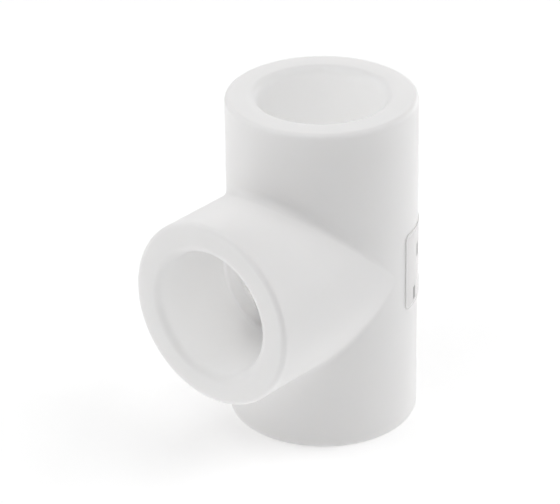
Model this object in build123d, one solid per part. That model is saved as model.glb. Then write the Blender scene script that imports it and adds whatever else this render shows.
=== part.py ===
from build123d import *
import os
from math import degrees

# Socket-fusion equal tee for 20 mm plastic pipe. All sizes are in millimetres.
# The run stands on its lower rim: the origin is the middle of that rim, +Z goes up along the
# run, and the branch points along -Y.

# Driving dimensions of the moulding
BARREL_DIAMETER = 29.0        # outside of the run and of the branch
ARM_LENGTH = 26.3             # from the crossing of the axes to each of the three rims
LIP_RADIUS = 0.8              # rounded outer edge of each rim
JUNCTION_RADIUS = 1.5         # hollow blend where the branch grows out of the run
SOCKET_DIAMETER = 19.3        # a 20 mm pipe is melted into it
SOCKET_DEPTH = 14.5           # from the rim to the stop shoulder
LEAD_IN_RADIUS = 1.4          # rounded mouth of each socket
SOCKET_ROOT_RADIUS = 0.5      # inside corner at the bottom of each socket
WATERWAY_DIAMETER = 13.4
SHOULDER_EDGE_RADIUS = 0.4    # where the stop shoulder turns into the waterway

# Raised marks moulded on top of the branch: a row of plain bars round the barrel
MARK_COUNT = 6
MARK_LENGTH = 1.8             # along the branch
MARK_WIDTH = 0.7
MARK_HEIGHT = 0.15
MARK_SPACING_DEGREES = 9.0
MARK_ROW_FROM_AXIS = 17.0     # from the run's axis to the middle of the row

# Self-adhesive label, wrapped round the run behind the branch
LABEL_WIDTH = 24.0            # measured round the barrel
LABEL_HEIGHT = 12.6
LABEL_THICKNESS = 0.12
LABEL_CORNER_RADIUS = 1.0
LABEL_START_DEGREES = 8.5     # its near edge, counted from +X towards +Y
LABEL_BELOW_CROSSING = 0.2    # from the crossing of the axes to the label's middle

# Worked out from the driving dimensions
BARREL_RADIUS = BARREL_DIAMETER / 2
SOCKET_RADIUS = SOCKET_DIAMETER / 2
WATERWAY_RADIUS = WATERWAY_DIAMETER / 2
RUN_LENGTH = 2 * ARM_LENGTH
CROSSING_HEIGHT = ARM_LENGTH
SHOULDER_FROM_AXIS = ARM_LENGTH - SOCKET_DEPTH
CUT_CLEARANCE = 1.0           # how far cutting tools run past the faces that they cut

CROSSING = Pos(0, 0, CROSSING_HEIGHT)
TO_TOP = CROSSING
TO_BOTTOM = CROSSING * Rot(180, 0, 0)
TO_BRANCH = CROSSING * Rot(90, 0, 0)
ON_ITS_BASE = (Align.CENTER, Align.CENTER, Align.MIN)


def is_junction_edge(edge):
    """The mitre curves between run and branch are the only elliptical edges."""
    return edge.geom_type == GeomType.ELLIPSE


def is_rim_edge(edge):
    """Each arm ends in one full circle of the barrel's radius."""
    return edge.geom_type == GeomType.CIRCLE and edge.is_closed


def outer_form():
    """Run and branch as one solid, with the blend at their junction and rounded rims.

    The two barrels' seams lie on the back of the run and under the branch, in the plane of
    symmetry, so that the blend is alike on both sides.
    """
    run = Rot(0, 0, 90) * Cylinder(BARREL_RADIUS, RUN_LENGTH, align=ON_ITS_BASE)
    branch = Rot(0, 0, -90) * Cylinder(BARREL_RADIUS, ARM_LENGTH, align=ON_ITS_BASE)
    barrels = run + TO_BRANCH * branch
    blended = fillet(barrels.edges().filter_by(is_junction_edge), JUNCTION_RADIUS)
    return fillet(blended.edges().filter_by(is_rim_edge), LIP_RADIUS)


def round_corner(section, corner, radius):
    """Round the one corner of a flat section that lies at the given point."""
    return fillet(section.vertices().sort_by_distance(corner)[0], radius)


def arm_core():
    """What one arm is hollowed by: the waterway, the stop shoulder, the socket and its mouth.

    It stands on the crossing of the axes and runs out past the rim along +Z.
    """
    mouth_radius = SOCKET_RADIUS + LEAD_IN_RADIUS
    past_rim = ARM_LENGTH + CUT_CLEARANCE
    lead_in_start = (SOCKET_RADIUS, ARM_LENGTH - LEAD_IN_RADIUS)
    lead_in_end = (mouth_radius, ARM_LENGTH)
    shoulder_edge = (WATERWAY_RADIUS, SHOULDER_FROM_AXIS)
    socket_root = (SOCKET_RADIUS, SHOULDER_FROM_AXIS)
    outline = Polyline(
        lead_in_end,
        (mouth_radius, past_rim),
        (0, past_rim),
        (0, 0),
        (WATERWAY_RADIUS, 0),
        shoulder_edge,
        socket_root,
        lead_in_start,
    )
    lead_in = RadiusArc(lead_in_start, lead_in_end, LEAD_IN_RADIUS)
    section = make_face([outline, lead_in])
    section = round_corner(section, shoulder_edge, SHOULDER_EDGE_RADIUS)
    section = round_corner(section, socket_root, SOCKET_ROOT_RADIUS)
    return revolve(Plane.XZ * section, Axis.Z)


def moulded_marks():
    """The row of raised bars, each following the curve of the branch."""
    row = []
    for number in range(MARK_COUNT):
        angle = (number - (MARK_COUNT - 1) / 2) * MARK_SPACING_DEGREES
        bar = Box(MARK_WIDTH, MARK_LENGTH, BARREL_RADIUS, align=ON_ITS_BASE)
        place = CROSSING * Pos(0, -MARK_ROW_FROM_AXIS, 0) * Rot(0, angle, 0)
        row.append(place * bar)
    upright_sleeve = Cylinder(BARREL_RADIUS + MARK_HEIGHT, ARM_LENGTH, align=ON_ITS_BASE)
    sleeve = TO_BRANCH * upright_sleeve
    return [sleeve & bar for bar in row]


def tee_body():
    """The whole moulding: outer form, raised marks, and three hollowed arms that meet."""
    body = outer_form() + moulded_marks()
    core = arm_core()
    for place in (TO_TOP, TO_BOTTOM, TO_BRANCH):
        body = body - place * core
    return body


def label():
    """A thin rounded rectangle of film that lies on the run's surface."""
    span = degrees(LABEL_WIDTH / BARREL_RADIUS)
    edge_on = Pos(BARREL_RADIUS + LABEL_THICKNESS / 2, 0) * Rectangle(LABEL_THICKNESS, LABEL_HEIGHT)
    film = revolve(Plane.XZ * edge_on, Axis.Z, revolution_arc=span)
    corners = film.edges().filter_by(GeomType.LINE).filter_by(
        lambda edge: abs(edge.length - LABEL_THICKNESS) < LABEL_THICKNESS / 10
    )
    film = fillet(corners, LABEL_CORNER_RADIUS)
    return CROSSING * Pos(0, 0, -LABEL_BELOW_CROSSING) * Rot(0, 0, LABEL_START_DEGREES) * film


os.makedirs("parts", exist_ok=True)
export_step(tee_body(), "parts/tee_body.step")
export_step(label(), "parts/label.step")
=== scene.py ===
import bmesh
import bpy
from math import acos, cos, radians, sin
from mathutils import Matrix, Vector


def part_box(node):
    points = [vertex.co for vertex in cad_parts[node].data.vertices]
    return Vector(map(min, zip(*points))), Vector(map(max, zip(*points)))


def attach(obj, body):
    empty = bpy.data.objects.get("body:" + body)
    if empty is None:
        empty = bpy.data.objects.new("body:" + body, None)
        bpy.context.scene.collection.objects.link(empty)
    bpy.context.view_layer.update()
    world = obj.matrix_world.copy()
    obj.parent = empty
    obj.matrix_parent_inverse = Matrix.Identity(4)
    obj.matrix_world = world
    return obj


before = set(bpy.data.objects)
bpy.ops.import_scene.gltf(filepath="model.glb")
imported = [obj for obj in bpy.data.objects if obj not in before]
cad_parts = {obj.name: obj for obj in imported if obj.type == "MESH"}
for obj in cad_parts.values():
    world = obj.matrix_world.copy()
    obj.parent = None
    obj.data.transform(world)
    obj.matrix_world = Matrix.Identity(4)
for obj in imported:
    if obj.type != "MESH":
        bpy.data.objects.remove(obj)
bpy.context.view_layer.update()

MM = 0.001

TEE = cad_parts["tee_body"]
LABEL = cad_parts["label"]
TEE_LOW, TEE_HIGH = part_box("tee_body")
LABEL_LOW, LABEL_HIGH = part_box("label")
BARREL_RADIUS = TEE_HIGH.x
CROSSING = Vector((0, 0, (TEE_LOW.z + TEE_HIGH.z) / 2))

# The label is wrapped round the run: angles go from +X towards +Y
FILM_THICKNESS = 0.12 * MM
FILM_RADIUS = BARREL_RADIUS + FILM_THICKNESS
FILM_START = acos(LABEL_HIGH.x / FILM_RADIUS)
FILM_WIDTH = FILM_RADIUS * (acos(LABEL_LOW.x / FILM_RADIUS) - FILM_START)
FILM_HEIGHT = LABEL_HIGH.z - LABEL_LOW.z
FILM_MIDDLE = (LABEL_HIGH.z + LABEL_LOW.z) / 2
PRINT_AND_SHADE_THICKNESS = 0.012 * MM

# A grey line just inside the label's edge is painted shade, standing for the shadow along the
# film's edge; two rows of plain bars stand in place of its words
EDGE_SHADE_INSET = 0.18 * MM
EDGE_SHADE_WIDTH = 0.22 * MM
EDGE_SHADE_CORNER = 0.85 * MM
BAR_WIDTH = 0.9 * MM
BAR_HEIGHT = 2.0 * MM
BAR_SPACING = 3.8 * MM
BAR_ROWS = ((2.1 * MM, 4.4 * MM, 5), (-4.45 * MM, 2.75 * MM, 6))   # height, first bar, how many

# Camera: a long lens, to the right of the branch and above it
CAMERA_AZIMUTH = 39.6
CAMERA_ELEVATION = 27.5
CAMERA_ROLL = -0.32
CAMERA_DISTANCE = 0.4664
CAMERA_LENS = 196.6           # millimetres, on a sensor 36 mm wide
AIM_LEFT = 6.5 * MM           # the camera aims this far to the left of the crossing of the axes
AIM_DOWN = 0.13 * MM

# Plastic: how light spreads under its surface, by the distance from the nearest bore's axis
FULL_REACH_WITHIN = 8.0 * MM  # takes in the waterway's wall
FULL_WEIGHT_WITHIN = 9.6 * MM    # almost out to the socket's wall
OUTSIDE_FROM = 10.8 * MM      # from here outwards the plastic is all alike
INNER_REACH = 90 * MM         # a device for the look, not measured: it brightens the insides
OUTER_REACH = 2 * MM
INNER_WEIGHT = 1.0
OUTER_WEIGHT = 0.4

# Noise stays near 0.5, and these limits are taken as its whole range
NOISE_LOW = 0.3
NOISE_HIGH = 0.7

# How finely the print and the painted edge shade are divided so that they bend with the label
CORNER_STEPS = 8
SIDE_STEPS = 24
BAR_STEPS = 3

FLOOR_SIZE = 4.0
FLOOR_GLOW = 0.245            # the floor shines a little by itself, which keeps it white
LIGHT_DISTANCE = 0.8          # from the crossing of the axes to each light
LIGHTS = {
    # name: (azimuth, elevation, width, height, power)
    "top": (0, 90, 0.5, 0.5, 1.52),
    "front": (0, 55, 0.6, 0.43, 1.66),
    "left": (-65, 23, 1.2, 0.38, 2.5),
    "back_left": (-140, 20, 0.75, 0.35, 1.0),
    "back_right": (165, 8, 0.85, 0.2, 2.42),
    "right": (120, 55, 0.6, 0.43, 1.9),
}


# ---------------------------------------------------------------- camera

def direction(azimuth, elevation):
    """From the fitting towards a camera or a light; azimuth 0 is on the branch's side."""
    a = radians(azimuth)
    e = radians(elevation)
    return Vector((sin(a) * cos(e), -cos(a) * cos(e), sin(e)))


def camera_axes():
    """The camera's right, up and backward directions."""
    a = radians(CAMERA_AZIMUTH)
    back = direction(CAMERA_AZIMUTH, CAMERA_ELEVATION)
    right = Vector((cos(a), sin(a), 0))
    return right, back.cross(right), back


def make_camera():
    right, up, back = camera_axes()
    place = CROSSING + back * CAMERA_DISTANCE
    aim = CROSSING - right * AIM_LEFT - up * AIM_DOWN
    back = (place - aim).normalized()
    right = up.cross(back).normalized()
    up = back.cross(right)
    turn = Matrix((right, up, back)).transposed() @ Matrix.Rotation(radians(CAMERA_ROLL), 3, "Z")
    data = bpy.data.cameras.new("camera")
    data.lens = CAMERA_LENS
    data.clip_start = 0.01
    data.clip_end = 10
    camera = bpy.data.objects.new("camera", data)
    camera.matrix_world = Matrix.Translation(place) @ turn.to_4x4()
    bpy.context.scene.collection.objects.link(camera)
    bpy.context.scene.camera = camera


# ---------------------------------------------------------------- node helpers

def new_material(name):
    material = bpy.data.materials.new(name)
    material.use_nodes = True
    nodes = material.node_tree.nodes
    return material, nodes, material.node_tree.links, nodes["Principled BSDF"]


def noise(nodes, links, coordinates, scale, detail=3.0):
    node = nodes.new("ShaderNodeTexNoise")
    node.inputs["Scale"].default_value = scale
    node.inputs["Detail"].default_value = detail
    links.new(coordinates, node.inputs["Vector"])
    return node.outputs["Fac"]


def ramp(nodes, links, value, stops):
    """Maps a noise value onto the colours between two stops."""
    node = nodes.new("ShaderNodeValToRGB")
    node.color_ramp.elements[0].position = NOISE_LOW
    node.color_ramp.elements[1].position = NOISE_HIGH
    for element, colour in zip(node.color_ramp.elements, stops):
        element.color = (*colour, 1)
    links.new(value, node.inputs["Fac"])
    return node.outputs["Color"]


def spread(nodes, links, value, low, high):
    """Maps a noise value onto low to high."""
    node = nodes.new("ShaderNodeMapRange")
    node.inputs["From Min"].default_value = NOISE_LOW
    node.inputs["From Max"].default_value = NOISE_HIGH
    node.inputs["To Min"].default_value = low
    node.inputs["To Max"].default_value = high
    links.new(value, node.inputs["Value"])
    return node.outputs["Result"]


def bump(nodes, links, height, distance, normal=None):
    node = nodes.new("ShaderNodeBump")
    node.inputs["Strength"].default_value = 1.0
    node.inputs["Distance"].default_value = distance
    links.new(height, node.inputs["Height"])
    if normal is not None:
        links.new(normal, node.inputs["Normal"])
    return node.outputs["Normal"]


def put_material(piece, material):
    piece.data.materials.clear()
    piece.data.materials.append(material)


def math_node(nodes, links, operation, first, second):
    """A Math node between two values, each a socket or a number."""
    node = nodes.new("ShaderNodeMath")
    node.operation = operation
    for socket, value in zip(node.inputs, (first, second)):
        if isinstance(value, (int, float)):
            socket.default_value = value
        else:
            links.new(value, socket)
    return node.outputs["Value"]


def distance_from_axis(nodes, links, first, second):
    """Distance from a line, given the two coordinates square to it."""
    square = [math_node(nodes, links, "MULTIPLY", value, value) for value in (first, second)]
    return math_node(nodes, links, "SQRT", math_node(nodes, links, "ADD", *square), 0)


def fade(nodes, links, value, start, end, low, high):
    """From low at the start to high at the end, smoothly, and level beyond them."""
    node = nodes.new("ShaderNodeMapRange")
    node.interpolation_type = "SMOOTHSTEP"
    links.new(value, node.inputs["Value"])
    for name, number in (("From Min", start), ("From Max", end), ("To Min", low), ("To Max", high)):
        node.inputs[name].default_value = number
    return node.outputs["Result"]


# ---------------------------------------------------------------- materials

def distance_from_bore(nodes, links, place):
    """How far a point is from the axis of the run or of the branch, whichever is nearer.

    The branch ends at the run's axis, so behind it the branch's distance is put out of reach.
    """
    split = nodes.new("ShaderNodeSeparateXYZ")
    links.new(place, split.inputs["Vector"])
    x, y, z = (split.outputs[axis] for axis in "XYZ")
    from_run = distance_from_axis(nodes, links, x, y)
    height = math_node(nodes, links, "SUBTRACT", z, CROSSING.z)
    from_branch = distance_from_axis(nodes, links, x, height)
    behind = math_node(nodes, links, "GREATER_THAN", y, 0.0)
    from_branch = math_node(nodes, links, "ADD", from_branch, behind)
    return math_node(nodes, links, "MINIMUM", from_run, from_branch)


def white_polypropylene():
    """Thick satin-white moulded plastic: faint clouds of colour, a fine skin, light in its walls.

    Light spreads further in the walls of the sockets and the waterway than it does outside.
    """
    material, nodes, links, shader = new_material("white_polypropylene")
    place = nodes.new("ShaderNodeTexCoord").outputs["Object"]
    clouds = noise(nodes, links, place, 90)
    colour = ramp(nodes, links, clouds, [(0.968, 0.957, 0.952), (0.983, 0.973, 0.969)])
    links.new(colour, shader.inputs["Base Color"])
    rough = spread(nodes, links, noise(nodes, links, place, 260), 0.35, 0.42)
    links.new(rough, shader.inputs["Roughness"])
    waves = bump(nodes, links, noise(nodes, links, place, 140, 1.0), 0.04 * MM)
    skin = bump(nodes, links, noise(nodes, links, place, 2600, 2.0), 0.006 * MM, waves)
    links.new(skin, shader.inputs["Normal"])
    shader.inputs["IOR"].default_value = 1.49
    shader.inputs["Specular IOR Level"].default_value = 0.3
    depth = distance_from_bore(nodes, links, place)
    weight = fade(nodes, links, depth, FULL_WEIGHT_WITHIN, OUTSIDE_FROM, INNER_WEIGHT, OUTER_WEIGHT)
    links.new(weight, shader.inputs["Subsurface Weight"])
    reach = fade(nodes, links, depth, FULL_REACH_WITHIN, OUTSIDE_FROM, INNER_REACH, OUTER_REACH)
    links.new(reach, shader.inputs["Subsurface Scale"])
    shader.inputs["Subsurface Radius"].default_value = (1.0, 0.98, 0.95)
    return material


def label_film():
    material, nodes, links, shader = new_material("label_film")
    place = nodes.new("ShaderNodeTexCoord").outputs["Object"]
    ripple = noise(nodes, links, place, 180, 2.0)
    colour = ramp(nodes, links, ripple, [(0.848, 0.834, 0.832), (0.868, 0.855, 0.853)])
    links.new(colour, shader.inputs["Base Color"])
    links.new(spread(nodes, links, ripple, 0.16, 0.24), shader.inputs["Roughness"])
    links.new(bump(nodes, links, ripple, 0.03 * MM), shader.inputs["Normal"])
    shader.inputs["IOR"].default_value = 1.5
    return material


def pale_floor():
    material, nodes, links, shader = new_material("pale_floor")
    place = nodes.new("ShaderNodeTexCoord").outputs["Object"]
    tone = noise(nodes, links, place, 12)
    colour = ramp(nodes, links, tone, [(0.955, 0.955, 0.955), (0.97, 0.97, 0.97)])
    links.new(colour, shader.inputs["Base Color"])
    shader.inputs["Roughness"].default_value = 0.9
    shader.inputs["Specular IOR Level"].default_value = 0.2
    shader.inputs["Emission Color"].default_value = (1, 1, 1, 1)
    shader.inputs["Emission Strength"].default_value = FLOOR_GLOW
    return material


def print_and_painted_shade(name, shade):
    """Thin marks on the film, a little uneven in tone and duller than the film: print for the bars,
    painted shade along the label's edge for the grey line.
    """
    material, nodes, links, shader = new_material(name)
    place = nodes.new("ShaderNodeTexCoord").outputs["Object"]
    grain = noise(nodes, links, place, 3000, 2.0)
    colour = ramp(nodes, links, grain, [(shade,) * 3, (shade * 1.1,) * 3])
    links.new(colour, shader.inputs["Base Color"])
    links.new(spread(nodes, links, grain, 0.42, 0.55), shader.inputs["Roughness"])
    return material


# ---------------------------------------------------------------- print on the label, and painted shade along its edge

def on_film(across, height, lift):
    """A point on the label, from its near edge and its middle line, lifted off the film."""
    angle = FILM_START + across / FILM_RADIUS
    radius = FILM_RADIUS + lift
    return radius * cos(angle), radius * sin(angle), FILM_MIDDLE + height


def add_band(mesh, left, right, closed):
    """A flat band between two lines of points on the film, as thin closed solids; used for the
    print and for the painted edge shade.
    """
    sides = [(line, lift) for lift in (-PRINT_AND_SHADE_THICKNESS, PRINT_AND_SHADE_THICKNESS) for line in (left, right)]
    under_left, under_right, over_left, over_right = (
        [mesh.verts.new(on_film(*point, lift)) for point in line] for line, lift in sides
    )
    round_it = (under_left, over_left, over_right, under_right)
    count = len(left)
    for i in range(count if closed else count - 1):
        j = (i + 1) % count
        for a, b in zip(round_it, round_it[1:] + round_it[:1]):
            mesh.faces.new((a[i], a[j], b[j], b[i]))
    if not closed:
        mesh.faces.new([line[0] for line in round_it])
        mesh.faces.new([line[-1] for line in reversed(round_it)])


def rounded_rectangle(inset, radius):
    """Points round the label at an inset from its edge, close enough together to bend with it."""
    corners = (
        (FILM_WIDTH - inset - radius, FILM_HEIGHT / 2 - inset - radius, 0),
        (inset + radius, FILM_HEIGHT / 2 - inset - radius, 90),
        (inset + radius, -FILM_HEIGHT / 2 + inset + radius, 180),
        (FILM_WIDTH - inset - radius, -FILM_HEIGHT / 2 + inset + radius, 270),
    )
    points = []
    for number, (across, height, start) in enumerate(corners):
        for step in range(CORNER_STEPS + 1):
            angle = radians(start + 90 * step / CORNER_STEPS)
            points.append((across + radius * cos(angle), height + radius * sin(angle)))
        if number % 2 == 0:
            points += straight_run(points[-1], corners[number + 1][0], SIDE_STEPS)
    return points


def straight_run(start, end_across, steps):
    """Points between the start and the next corner, at the same height."""
    across, height = start
    return [(across + (end_across - across) * i / steps, height) for i in range(1, steps)]


def new_piece(name, mesh, material):
    """A thin piece on the label from a finished mesh, used for the print and for the painted edge
    shade; it moves with the fitting.
    """
    bmesh.ops.recalc_face_normals(mesh, faces=mesh.faces)
    data = bpy.data.meshes.new(name)
    mesh.to_mesh(data)
    mesh.free()
    piece = bpy.data.objects.new(name, data)
    bpy.context.scene.collection.objects.link(piece)
    put_material(piece, material)
    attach(piece, "root")


# The grey line just inside the label's edge is painted shade: it stands for the shadow along the
# film's edge, not for print.
def make_painted_edge_shade():
    mesh = bmesh.new()
    outer = rounded_rectangle(EDGE_SHADE_INSET, EDGE_SHADE_CORNER)
    inner = rounded_rectangle(EDGE_SHADE_INSET + EDGE_SHADE_WIDTH, EDGE_SHADE_CORNER - EDGE_SHADE_WIDTH)
    add_band(mesh, outer, inner, closed=True)
    new_piece("label_painted_edge_shade", mesh, print_and_painted_shade("grey_painted_edge_shade", 0.8))


def bar_edge(across, height):
    """Points along the lower or upper edge of one bar."""
    return [(across + BAR_WIDTH * i / BAR_STEPS, height) for i in range(BAR_STEPS + 1)]


def make_bars():
    mesh = bmesh.new()
    for height, first, count in BAR_ROWS:
        for number in range(count):
            across = first + number * BAR_SPACING
            add_band(mesh, bar_edge(across, height - BAR_HEIGHT / 2),
                     bar_edge(across, height + BAR_HEIGHT / 2), closed=False)
    new_piece("label_bars", mesh, print_and_painted_shade("dark_ink", 0.34))


# ---------------------------------------------------------------- studio

def make_floor():
    bpy.ops.mesh.primitive_plane_add(size=FLOOR_SIZE, location=(0, 0, TEE_LOW.z))
    floor = bpy.context.object
    floor.name = "floor"
    put_material(floor, pale_floor())


def make_light(name, azimuth, elevation, width, height, power):
    back = direction(azimuth, elevation)
    data = bpy.data.lights.new(name, "AREA")
    data.shape = "RECTANGLE"
    data.size = width
    data.size_y = height
    data.energy = power
    light = bpy.data.objects.new(name, data)
    light.location = CROSSING + back * LIGHT_DISTANCE
    light.rotation_mode = "QUATERNION"
    light.rotation_quaternion = back.to_track_quat("Z", "Y")
    light.visible_camera = False
    bpy.context.scene.collection.objects.link(light)


def make_world():
    """A white backdrop beyond the floor's edge, which the camera sees but which lights nothing."""
    world = bpy.data.worlds.new("studio")
    bpy.context.scene.world = world
    world.use_nodes = True
    background = world.node_tree.nodes["Background"]
    background.inputs["Color"].default_value = (1, 1, 1, 1)
    background.inputs["Strength"].default_value = 1.0
    rays = world.cycles_visibility
    rays.diffuse = False
    rays.glossy = False
    rays.transmission = False
    rays.scatter = False


def make_studio():
    make_floor()
    make_world()
    for name, settings in LIGHTS.items():
        make_light(name, *settings)
    bpy.context.scene.view_settings.view_transform = "Standard"


make_camera()
put_material(TEE, white_polypropylene())
put_material(LABEL, label_film())
make_painted_edge_shade()
make_bars()
make_studio()
